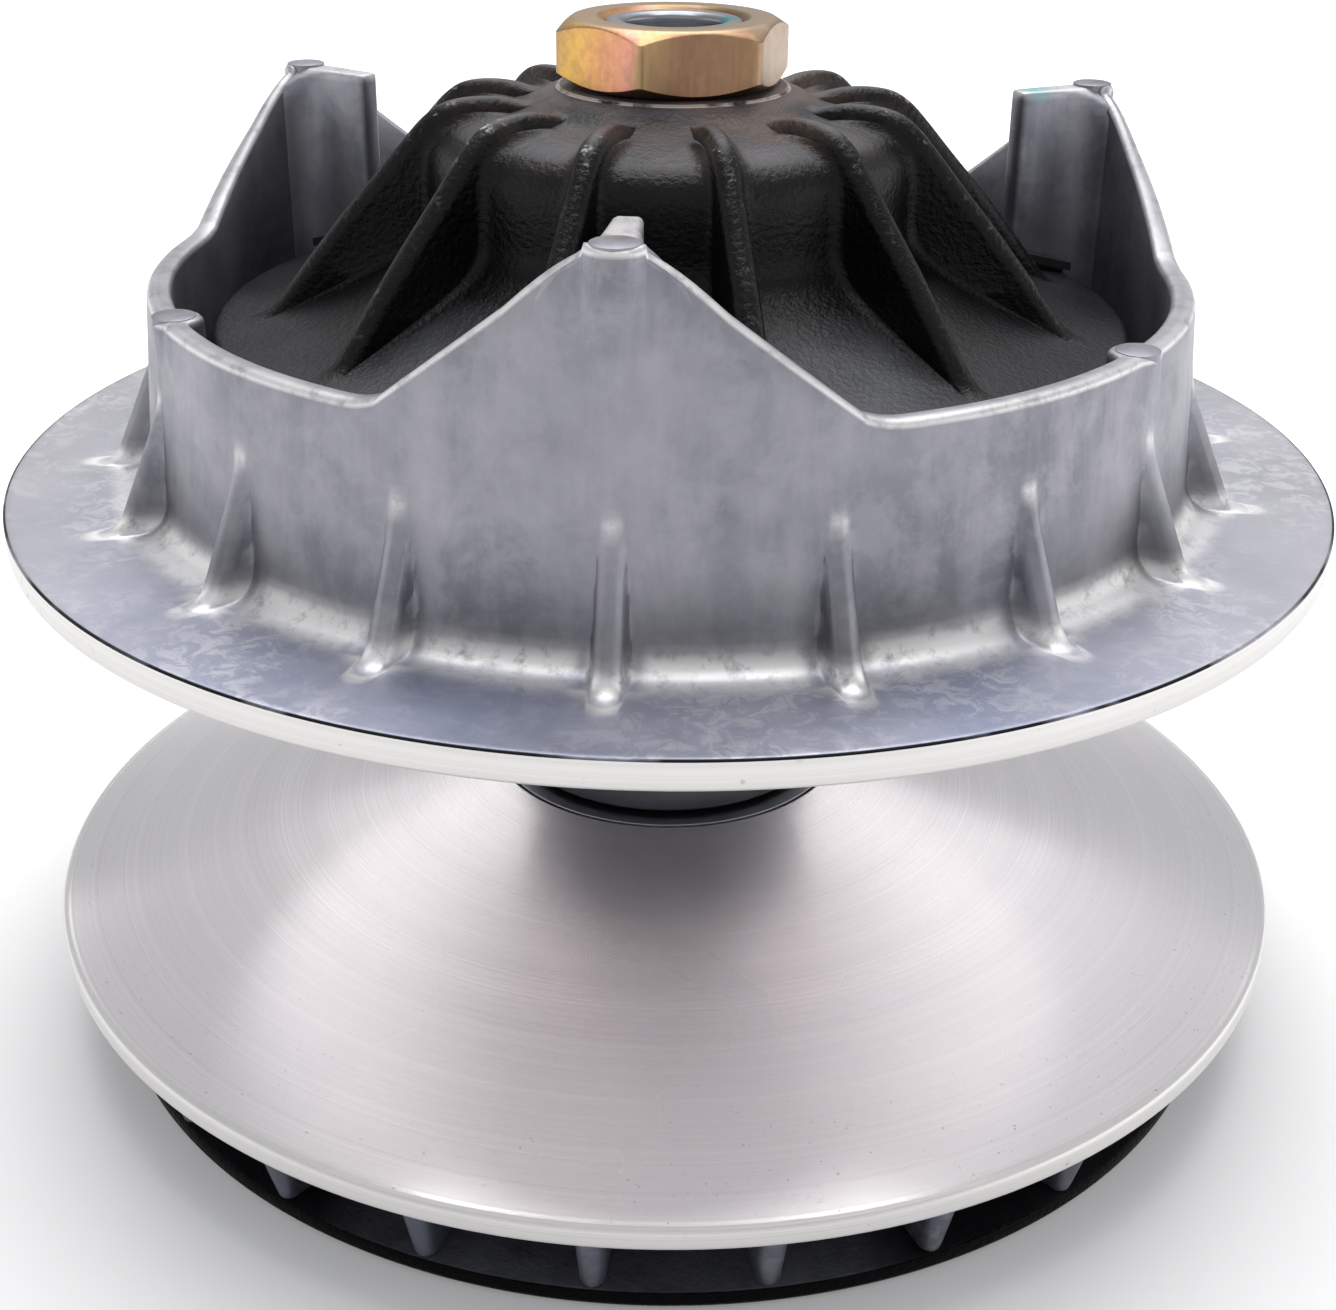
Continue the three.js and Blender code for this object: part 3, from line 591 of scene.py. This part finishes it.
def movable_sheave():
    """The casting round its axis: rim, flat disc, buttressed wall with peaks, floor, tower, sleeve."""
    spots = np.array([0.35, 0.65, 0.88, 1.03, 1.18, 1.36, 1.58, 1.85, 2.15, 2.45, 2.7, 2.9, 3.1, 3.4,
                      3.9, 4.6, 5.6, 6.8, 8.2])
    offsets = np.concatenate([[-10], -spots[::-1], [0], spots])
    low_rise = np.array([0.0, 0.25, 0.6, 1.05, 1.6, 2.3, 3.0])
    columns = []
    wear_and_highlight = []
    for sector in range(BUTTRESS_COUNT):
        has_boss = sector % 3 == 0
        for offset in offsets:
            azimuth = math.radians(PEAK_AZIMUTHS[0] + 20 * sector + offset)
            from_peak = (20 * sector + offset + 60) % 120 - 60
            top = float(wall_top(from_peak))
            s = 77 * math.sin(math.radians(offset))
            if sector % 6 == 0 and abs(s) < BOSS_R:
                top = PEAK_TOP
            boss = has_boss and abs(s) < 7
            inner_boss = boss and sector % 6 != 0
            lower = DISC_Z + np.concatenate([low_rise, np.linspace(4.2, 21, 15)])
            upper = np.linspace(21 + DISC_Z, top - 1.1, 7)[1:]
            outside_z = np.concatenate([lower, upper])
            outside_r = outer_wall(outside_z, s, boss, top)
            s_in = 74 * math.sin(math.radians(offset))
            inside_top = float(inner_wall(np.array([top]), s_in, inner_boss)[0])
            edge_out = outside_r[-1]
            crest = [
                (edge_out - 0.15, top - 0.62), (edge_out - 0.5, top - 0.22), (edge_out - 1.05, top),
                (0.5 * (edge_out + inside_top), top),
                (inside_top + 1.0, top), (inside_top + 0.45, top - 0.22), (inside_top + 0.12, top - 0.62),
            ]
            inside_z = np.linspace(top - 1.1, 87.2, 9)
            inside_r = inner_wall(inside_z, s_in, inner_boss)
            foot = outside_r[0]
            ring = [
                (28.6, 68.25), (52, 73.7), (76, 79.3), (99.2, 84.72), (99.75, 84.9), (100, 85.3),
                (100, 88.7), (99.94, 88.86), (99.55, DISC_Z), (98.9, DISC_Z),
                (94, DISC_Z), (foot + 3.2, DISC_Z), (foot + 2.0, DISC_Z), (foot + 0.9, DISC_Z),
            ]
            floor = [
                (inside_r[-1] - 0.35, 85.7), (inside_r[-1] - 1.1, 84.7), (inside_r[-1] - 2.4, 83.9),
                (60, 80.8), (45, 77.2), (38, 75.6), (34.6, 75.6), (33.0, 76.4), (32.4, 78.2),
                (32.4, 118.2), (31.6, 119.0), (21.6, 119.0), (20.4, 119.4), (20.0, 120.6),
                (20.0, 133.6), (19.4, 134.2), (18.1, 134.2), (17.6, 133.7),
                (17.6, 95.5), (18.1, 95.0), (19.6, 95.0), (20.0, 95.4),
                (20.0, 114.4), (20.6, 115.0), (27.4, 115.0), (28.0, 114.4), (28.0, 69.5), (28.3, 68.6),
            ]
            outline = ring + list(zip(outside_r, outside_z)) + crest + list(zip(inside_r, inside_z)) + floor
            outline = np.array(outline)
            columns.append(np.stack([
                outline[:, 0] * math.cos(azimuth), outline[:, 0] * math.sin(azimuth), outline[:, 1],
            ], 1))
            on_rib = 1 - smooth_step(abs(s), 2.2, 5.2)
            rib_top = 1 - smooth_step(abs(s), 0.5, 1.7)
            beside_rib = np.exp(-((abs(s) - 3.2) / 1.0) ** 2)
            glow = np.zeros(len(outline))
            start = len(ring)
            end = start + len(outside_z)
            rise = outside_z - DISC_Z
            # Painted highlight: the attribute is high on the foot fillet and on the disc just before it, and
            # lower beside the ribs, where the fillet lies in shade. rib_tip is wear on the ribs' tops, and the
            # crest values make the wall's top edges paler.
            at_foot = np.exp(-((rise - 1.1) / 1.5) ** 2)
            rib_tip = 0.5 * rib_top * np.exp(-((rise - 18.4) / 1.2) ** 2)
            glow[start:end] = at_foot * (0.9 - 0.55 * beside_rib) + rib_tip
            before_rib = np.array([0.1, 0.55, 0.9])
            before_wall = np.array([0, 0.05, 0.3])
            glow[start - 3:start] = before_rib * on_rib + before_wall * (1 - on_rib)
            glow[end:end + len(crest)] = [0.75, 0.6, 0.3, 0.15, 0.2, 0.4, 0.35]
            wear_and_highlight.append(np.clip(glow, 0, 1))
    rows = len(columns[0])
    points = np.concatenate(columns)
    piece = mesh_object("sheave_casting", points, ring_grid(len(columns), rows), "sliding_sheave",
                        [CAST, TURNED, RIM], sharp=50)
    store(piece, "wear_and_highlight", np.concatenate(wear_and_highlight))
    for face in piece.data.polygons:
        r = math.hypot(face.center.x, face.center.y) / MM
        z = face.center.z / MM
        if r > 99.0 and z < 88.75:
            face.material_index = 2
        elif r > 28.4 and z < 68.3 + (r - 28.6) * GROOVE_SLOPE + 0.4:
            face.material_index = 1
    return stand_for(piece, "cast_aluminium", "movable_sheave")


def guide_web(azimuth, index):
    """A web from the peak inwards, with a wide flare into the wall that stays under the wall's top."""
    side = [(75.0, 9.0), (73.6, 8.0), (72.5, 5.8), (71.4, 4.3), (70.0, 3.2), (68.2, 2.5), (66.0, 2.15),
            (60.7, 1.9), (60.0, 1.65), (WEB_INNER_R, 1.1)]
    heights = [(WEB_FOOT, 0), (110, 0), (126, 0), (131, 0), (134, 0), (136, 0), (137.6, 0), (138.6, 0),
               (139.4, 0), (139.8, 0.15), (140.0, 0.45), (140.05, 0.85)]
    sections = []
    for height, inset in heights:
        share = np.clip(2 * (height - WALL_TOP) / (PEAK_TOP - WALL_TOP) - 1, -1, 1)
        under_wall = 73 * math.radians(PEAK_HALF_ANGLE * (math.acos(share) / math.pi) ** (1 / PEAK_BEND)) - 0.8
        widest = max(under_wall, 2.3)
        plan = [(max(r, WEB_INNER_R + inset), max(min(half, widest) - inset, 0.3)) for r, half in side]
        outline = plan + [(r, -half) for r, half in plan[::-1]]
        sections.append(np.array([(r, half, height) for r, half in outline]))
    points, faces = loft(sections)
    piece = mesh_object(f"guide_web_{index}", to_azimuth(points, azimuth), faces, "sliding_sheave",
                        [CAST], 50)
    store(piece, "wear_and_highlight", points_near_top(piece, 139.6) * 0.45)
    return stand_for(piece, "cast_aluminium")


def ejector_pads():
    """Round marks that the mould's ejector pins leave on the tops of the wall's bosses."""
    for index in range(6):
        top = PEAK_TOP if index % 2 == 0 else WALL_TOP
        angle = math.radians(PEAK_AZIMUTHS[0] + 60 * index)
        reach = 73.9 if index % 2 == 0 else 74.5
        place = (reach * math.cos(angle), reach * math.sin(angle))
        points, faces = cylinder_points(place, (3.0, 3.0, 2.75), (top - 1, top + 0.08, top + 0.2), 40)
        pad = mesh_object(f"ejector_pad_{index + 1}", points, faces, "sliding_sheave", [CAST], 50)
        stand_for(pad, "cast_aluminium")


def points_near_top(piece, height_mm):
    heights = np.array([vertex.co.z for vertex in piece.data.vertices]) / MM
    return smooth_step(heights, height_mm - 0.6, height_mm + 0.3)


def plate(name, outline, near, far, azimuth, body, material, rounding=0.5):
    """A radial plate of an (r, z) outline between two sideways distances, with rounded edges."""
    flat = np.array(softened(outline, 4))
    sections = [np.stack([flat[:, 0], flat[:, 0] * 0 + side, flat[:, 1]], 1) for side in (near, far)]
    points, faces = loft(sections)
    piece = mesh_object(name, to_azimuth(points, azimuth), faces, body, [material])
    bevel(piece, rounding)
    return piece


def lever_ears(azimuth, index):
    outline = [(57.5, 78.5), (70.5, 81), (69.4, 88.6, 3), (66.5, 92.6, 3), (61.5, 92.6, 3), (58.9, 88.6, 3)]
    for side, near in enumerate((-8.8, 5.9)):
        piece = plate(f"lever_ear_{index}_{side + 1}", outline, near, near + 2.9, azimuth,
                      "sliding_sheave", CAST)
        stand_for(piece, "cast_aluminium")


# Governor cup --------------------------------------------------------------------------------------

BODY_LINE = [
    (12.4, 145), (16.4, 145), (16.8, 144.75), (17.4, 144.45), (19, 143.9), (20.8, 143.0), (22.5, 142.2),
    (25, 141.6), (28, 141.1), (31, 140.4), (33.4, 139.4), (35, 137.9), (35.8, 135.8), (36, 133),
    (36, 130), (36.1, 127.4), (36.8, 125.2), (38.4, 123.4), (41, 121.7), (44.5, 119.8), (48, 118.1),
    (52, 116.4), (56, 114.9), (60.5, 113.5), (64, 112.6), (67.2, 111.9), (68.0, 111.5),
]
CREST_LINE = BODY_LINE[:6] + [
    (22.2, 143.2), (25, 143.8), (28, 143.95), (31, 143.7), (33.8, 142.9), (36.4, 141.1), (38.9, 138.5),
    (41.2, 135.9), (43.5, 133.3), (45.6, 131.0), (47.6, 128.8), (49.6, 126.5), (51.6, 124.1), (53.6, 121.7),
    (55.5, 119.3), (57.6, 116.7), (59.5, 114.5), (61.7, 113.3),
] + BODY_LINE[24:]
CUP_RIB_COUNT = 12
CUP_RIB_AZIMUTH = -74
CUP_SLOT_R = 57
CUP_SLOT_HALF = 5.2
RIB_HALF = 1.9
RIB_SPOTS = [0, 0.5, 0.95, 1.3, 1.55, 1.72, 1.84, 1.9, 1.97, 2.12, 2.4, 2.85, 3.5, 4.2]


def rib_height(s, full):
    """Height of a round-topped rib at s sideways from its middle, for its full heights along the crest."""
    drop = RIB_HALF - math.sqrt(max(RIB_HALF ** 2 - s * s, 0))
    bar = np.maximum(full - drop * np.minimum(full / RIB_HALF, 1), 0)
    if s <= RIB_HALF:
        return bar
    return np.minimum(bar, 0.8 * fillet(s - RIB_HALF, 2.3))


def governor_cup():
    """The ribbed dome: each column blends from the body's line to the rib crest's line."""
    body_line = through(BODY_LINE, 3)
    crest_line = through(CREST_LINE, 3)
    under = np.array(softened([
        (68.4, 110.6, 0.6), (68.4, 108.3, 0.6), (67.2, 107.95), (57, 110.3), (36, 119.6, 2.5), (32.2, 123, 2),
        (31.2, 131, 3), (28, 136.2, 3), (20.6, 136.8, 1.5), (20.2, 134.6, 0.5), (12.4, 134.6, 0.5),
    ], 4))
    columns = []
    wear_and_highlight = []
    scratch = np.random.default_rng(4)
    full = np.linalg.norm(crest_line - body_line, axis=1)
    across = np.divide(crest_line - body_line, full[:, None], out=np.zeros_like(body_line),
                       where=full[:, None] > 1e-6)
    ribs = [-spot for spot in RIB_SPOTS[:0:-1]] + RIB_SPOTS
    for rib in range(CUP_RIB_COUNT):
        centre = math.radians(CUP_RIB_AZIMUTH + 30 * rib)
        chip = scratch.uniform(0.5, 1.0)
        for spot, share in [(spot, None) for spot in ribs] + [(0.0, share) for share in (0.25, 0.5, 0.75)]:
            height = rib_height(abs(spot), full) if share is None else full * 0
            line = body_line + across * height[:, None]
            outline = np.vstack([line, under])
            r = outline[:, 0]
            shrink = np.minimum(r / 21.0, 1)
            edge = RIB_SPOTS[-1] * shrink / r
            if share is None:
                angle = np.arcsin(spot * shrink / r)
            else:
                angle = np.arcsin(edge) + (math.radians(30) - 2 * np.arcsin(edge)) * share
            azimuth = centre + angle
            columns.append(np.stack([r * np.cos(azimuth), r * np.sin(azimuth), outline[:, 1]], 1))
            on_crest = share is None and 1 - smooth_step(abs(spot), 0.9, 1.8)
            knee = np.exp(-((r - 34.5) / 3.0) ** 2)
            along = 0.10 * ((r > 31) & (r < 58))
            rub = np.maximum(knee, along) * chip * on_crest
            rub[len(line):] = 0
            wear_and_highlight.append(rub)
    rows = len(columns[0])
    piece = mesh_object("cup_casting", np.concatenate(columns), ring_grid(len(columns), rows),
                        "shaft_assembly", [BLACK], sharp=60)
    store(piece, "wear_and_highlight", np.concatenate(wear_and_highlight))
    slots = []
    for azimuth in PEAK_AZIMUTHS:
        box = [(CUP_SLOT_R, -CUP_SLOT_HALF), (75, -CUP_SLOT_HALF), (75, CUP_SLOT_HALF),
               (CUP_SLOT_R, CUP_SLOT_HALF)]
        sections = [np.array([(x, y, z) for x, y in box]) for z in (100.0, 125.0)]
        points, faces = loft(sections)
        slots.append((to_azimuth(points, azimuth), faces))
    cut(piece, slots)
    stand_for(piece, "black_coat", "governor_cup")
    for index, azimuth in enumerate(LEVER_AZIMUTHS):
        outline = [(44, 117.5), (46.2, 92.4, 3), (48.4, 89.9, 3), (52.6, 89.9, 3), (54.9, 92.4, 3), (60, 111)]
        for side, near in enumerate((-10.3, 6.6)):
            ear = plate(f"cup_ear_{index + 1}_{side + 1}", outline, near, near + 3.7, azimuth,
                        "shaft_assembly", BLACK)
            stand_for(ear, "black_coat")


# Fixed sheave --------------------------------------------------------------------------------------

SHEAVE_R = 100
FIXED_RIM_BOTTOM = 17.1
BACK_SLOPE = 0.208
FIN_COUNT = 24
FIN_AZIMUTH = -91.3
FIN_BOTTOM = 3.3
SCREW_PCD_R = 60


def fixed_back(r):
    return FIXED_RIM_BOTTOM + (SHEAVE_R - r) * BACK_SLOPE


def screw_places():
    angles = [math.radians(-90 + 60 * i) for i in range(6)]
    return [(SCREW_PCD_R * math.cos(angle), SCREW_PCD_R * math.sin(angle)) for angle in angles]


def fixed_sheave():
    """The turned disc and hub of the lower sheave, then its fins and screw bosses."""
    outline = [
        (19.3, 0.0, 0.6), (30, 0.0, 0.8), (30, 25, 4), (38, fixed_back(38), 3), (98.6, fixed_back(98.6), 0.6),
        (100, 17.7, 0.5), (100, 20.3, 0.35), (99.7, 20.72, 0.15), (98.9, 21.02, 0.2), (98.5, 21.2),
        (60, 30.15), (28.6, 37.48, 0.5), (28.4, 35.5, 0.3), (19.3, 35.5),
    ]
    disc = turned("sheave_disc", outline, "shaft_assembly", [TURNED, RIM, SHADED_CAST], segments=288)
    # The disc's underside takes the cast aluminium darkened as painted shade.
    for face in disc.data.polygons:
        r = math.hypot(face.center.x, face.center.y) / MM
        z = face.center.z / MM
        if r > 99.2:
            face.material_index = 1
        elif r > 30.2 and z < fixed_back(r) + 0.3:
            face.material_index = 2
    stand_for(disc, "turned_aluminium", "fixed_sheave")
    for i in range(FIN_COUNT):
        fin(i + 1, FIN_AZIMUTH + 15 * i)
    for i, (x, y) in enumerate(screw_places()):
        points, faces = cylinder_points((x, y), (4.6, 5.0, 5.0, 5.6, 6.4), (3.3, 3.7, 20, 23, 26))
        boss = mesh_object(f"screw_boss_{i + 1}", points, faces, "shaft_assembly", [SHADED_CAST])
        stand_for(boss, "cast_aluminium")


def fin(index, azimuth):
    """A cooling fin with a round outer end that thickens and leans out towards the disc."""
    levels = [(FIN_BOTTOM, 1.5), (3.7, 1.8), (8, 1.92), (13, 2.05), (15.5, 2.15), (16.8, 2.35), (17.6, 2.8),
              (18.1, 3.4)]
    arc = [math.radians(a) for a in np.linspace(-90, 90, 9)]
    sections = []
    for z, half in levels:
        outer = 92.0 + (z - FIN_BOTTOM) * 0.30
        inner = 47.5 - (z - FIN_BOTTOM) * 0.06
        tip = [(outer - half + half * math.cos(a), half * math.sin(a), z) for a in arc]
        spread = 1 + 0.35 * (z - FIN_BOTTOM) / 15
        sections.append(np.array(tip + [(inner, half * spread, z), (inner, -half * spread, z)]))
    top = np.array([(r, y, fixed_back(r) + 0.8) for r, y, _ in sections[-1]])
    sections.append(top)
    points, faces = loft(sections)
    piece = mesh_object(f"cooling_fin_{index}", to_azimuth(points, azimuth), faces, "shaft_assembly",
                        [SHADED_CAST], 50)
    stand_for(piece, "cast_aluminium")


def fan_cover():
    outline = [(46, 0.5, 0.4), (92, 0.5, 0.4), (92.4, 1.2, 0.2), (92.4, 2.6, 0.3), (92, 3.0, 0.3),
               (46, 3.0, 0.4)]
    ring = turned("cover_ring", outline, "shaft_assembly", [BLACK_PLATE], segments=288)
    sinks = [cylinder_points(place, (4.6, 4.6, 2.3, 2.3), (0.0, 0.7, 2.95, 4.0)) for place in screw_places()]
    cut(ring, sinks)
    stand_for(ring, "black_coat", "fan_cover_plate")


# Shaft, nut, idler and spring ----------------------------------------------------------------------

def drive_shaft():
    outline = [
        (12.5, 0.0, 0.5), (19.0, 0.0, 0.6), (19.0, 38, 0.4), (15.0, 38, 0.3), (15.0, 134.2, 0.6),
        (12.0, 134.2, 0.2), (12.0, 144.2, 0.4), (10.0, 145.0, 0.3), (10.0, 153.5, 0.3), (9.5, 154.0, 0.2),
        (7.9, 154.0, 0.3), (7.15, 153.3, 0.3), (7.15, 42, 0.8),
    ]
    stand_for(turned("shaft_body", outline, "shaft_assembly", [STEEL], 96), "ground_steel", "drive_shaft")


NUT_TURN = -71  # azimuth of one flat's normal
NUT_CORNER_R = 17.12  # takes the last few hundredths off the hexagon's corners


def shaft_nut():
    """A hexagon whose corners are cut by 32 degree chamfer cones above and below."""
    low, high, bore, flat = 145.3, 154.4, 10.15, 15.0
    ring = 14.5
    columns = []
    for side in range(6):
        for offset in (-30, -29.2, -28, -26, -23, -19, -15, -10, -5, 0, 5, 10, 15, 19, 23, 26, 28, 29.2):
            reach = min(flat / math.cos(math.radians(offset)), NUT_CORNER_R)
            drop = (reach - ring) * math.tan(math.radians(32))
            outline = [
                (bore + 0.9, high), (ring - 0.25, high), (ring + 0.1, high - 0.1),
                (reach - 0.12, high - drop + 0.02), (reach, high - drop - 0.12),
                (reach, 0.5 * (low + high)), (reach, low + drop + 0.12),
                (reach - 0.12, low + drop - 0.02), (ring + 0.1, low + 0.1), (ring - 0.25, low),
                (bore + 0.9, low), (bore, low + 0.9), (bore, high - 0.9),
            ]
            angle = math.radians(NUT_TURN + 60 * side + offset)
            columns.append([(r * math.cos(angle), r * math.sin(angle), z) for r, z in outline])
    rows = len(columns[0])
    nut = mesh_object("hex_nut", np.array(columns).reshape(-1, 3), ring_grid(len(columns), rows),
                      "shaft_assembly", [ZINC], sharp=28)
    stand_for(nut, "yellow_zinc", "shaft_nut")


def idler():
    parts = [
        ("idler_ring", [(22.1, 38.3, 0.6), (25.5, 38.3, 0.5), (25.5, 63.4, 0.5), (22.1, 63.4, 0.6)],
         "idler", DARK_STEEL, "dark_steel", "idler_sleeve"),
        ("thrust_washer", [(19.4, 35.8, 0.3), (28.25, 35.8, 0.2), (28.25, 37.5, 0.1), (19.4, 37.5, 0.3)],
         "shaft_assembly", STEEL, "ground_steel", "idler_thrust_washer"),
        ("inner_race", [(15.3, 38.3, 0.4), (18.6, 38.3, 0.4), (18.6, 63.7, 0.4), (15.3, 63.7, 0.4)],
         "shaft_assembly", STEEL, "ground_steel", "idler_inner_race"),
        ("spring_seat_ring", [(15.3, 64.0, 0.4), (27.8, 64.0, 0.5), (27.8, 67.0, 0.5), (15.3, 67.0, 0.4)],
         "shaft_assembly", STEEL, "ground_steel", "spring_seat"),
    ]
    for name, outline, body, material, slot, node in parts:
        stand_for(turned(name, outline, body, [material], 128), slot, node)


def coil_spring():
    """The return spring: round wire, with its end turns wound flat."""
    wire, mean, turns, sides = 2.0, 24.0, 4.6, 16
    low, high = 67.4 + wire, 114.6 - wire
    count = int(turns * 72)
    t = np.linspace(0, 1, count + 1)
    angle = t * turns * 2 * math.pi
    rise = low + (high - low) * smooth_step(t, -0.02, 1.02)
    sections = []
    for i in range(count + 1):
        outwards = np.array([math.cos(angle[i]), math.sin(angle[i]), 0])
        centre = outwards * mean + np.array([0, 0, rise[i]])
        ring = [centre + wire * (math.cos(a) * outwards + math.sin(a) * np.array([0, 0, 1.0]))
                for a in np.arange(sides) * 2 * math.pi / sides]
        sections.append(np.array(ring))
    points, faces = loft(sections)
    spring = mesh_object("spring_coil", points, faces, "shaft_assembly", [SPRING_STEEL])
    stand_for(spring, "spring_steel", "return_spring")
    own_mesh(spring)


def carried_over_nodes():
    """CAD pieces that keep their shape: each gets its material and rounded edges."""
    looks = {
        "fan_cover_screw": DARK_STEEL, "idler_needle_cage": STEEL, "lower_seal": SEAL, "upper_seal": SEAL,
        "lower_bushing": BRONZE, "upper_bushing": BRONZE, "guide_shoe": NYLON, "cam_roller_pin": STEEL,
        "cam_roller": STEEL, "lever_pin": STEEL, "lever_bush": BRONZE, "lever_weight": STEEL,
        "centrifugal_lever": DARK_STEEL,
    }
    for name, node in nodes.items():
        if node.hide_render:
            continue
        kind = name if name in looks else name.rsplit("_", 1)[0]
        node.data.materials.clear()
        node.data.materials.append(looks[kind])
        bevel(node, 0.25)


# Camera, lights and floor --------------------------------------------------------------------------

def camera():
    data = bpy.data.cameras.new("camera")
    data.sensor_width = 36
    data.lens = 52.76
    data.clip_end = 20
    holder = bpy.data.objects.new("camera", data)
    bpy.context.scene.collection.objects.link(holder)
    heading, pitch = math.radians(4.49), math.radians(26.07)
    level = math.cos(pitch)
    look = Vector((-math.sin(heading) * level, math.cos(heading) * level, -math.sin(pitch)))
    turn = look.to_track_quat("-Z", "Y").to_matrix() @ Matrix.Rotation(math.radians(0.62), 3, "Z")
    holder.matrix_world = Matrix.Translation(Vector((22.84, -289.30, 195.1)) * MM) @ turn.to_4x4()
    bpy.context.scene.camera = holder


def soft_light(name, place, target, size, watts):
    data = bpy.data.lights.new(name, "AREA")
    data.shape = "RECTANGLE"
    data.size, data.size_y = size
    data.energy = watts
    light = bpy.data.objects.new(name, data)
    direction = Vector(target) - Vector(place)
    light.matrix_world = Matrix.Translation(place) @ direction.to_track_quat("-Z", "Y").to_matrix().to_4x4()
    bpy.context.scene.collection.objects.link(light)


def studio():
    floor_mesh = bpy.data.meshes.new("floor")
    reach = 6.0
    corners = [(-reach, -reach, 0), (reach, -reach, 0), (reach, reach, 0), (-reach, reach, 0)]
    floor_mesh.from_pydata(corners, [], [(0, 1, 2, 3)])
    floor = bpy.data.objects.new("floor", floor_mesh)
    bpy.context.scene.collection.objects.link(floor)
    surface = Surface("floor", roughness=0.8)
    surface.shader.inputs["Base Color"].default_value = (0.86, 0.86, 0.86, 1)
    surface.shader.inputs["Emission Color"].default_value = (1, 1, 1, 1)
    glow = surface.spread(surface.radius(), 0.15, 0.5, 0.10, 0.50)
    surface.tree.links.new(glow, surface.shader.inputs["Emission Strength"])
    floor_mesh.materials.append(surface.material)
    soft_light("top", (0.0, 0.28, 1.25), (0, 0, 0.05), (1.0, 0.9), 12)
    soft_light("back", (0.0, 0.95, 1.10), (0, 0, 0.05), (1.5, 0.9), 3)
    soft_light("left", (-1.05, 0.0, 0.30), (0, 0, 0.05), (1.7, 0.5), 2)
    soft_light("right", (1.05, 0.0, 0.30), (0, 0, 0.05), (1.7, 0.5), 3.5)
    soft_light("front", (0.0, -1.2, 0.60), (0, 0, 0.05), (1.8, 0.5), 1.2)
    world = bpy.data.worlds.new("studio")
    world.use_nodes = True
    world.node_tree.nodes["Background"].inputs["Color"].default_value = (0.88, 0.89, 0.92, 1)
    world.node_tree.nodes["Background"].inputs["Strength"].default_value = 0.55
    bpy.context.scene.world = world
    bpy.context.scene.view_settings.view_transform = "Standard"


camera()
movable_sheave()
for number, direction in enumerate(PEAK_AZIMUTHS):
    guide_web(direction, number + 1)
ejector_pads()
for number, direction in enumerate(LEVER_AZIMUTHS):
    lever_ears(direction, number + 1)
governor_cup()
fixed_sheave()
fan_cover()
drive_shaft()
shaft_nut()
idler()
coil_spring()
carried_over_nodes()
studio()
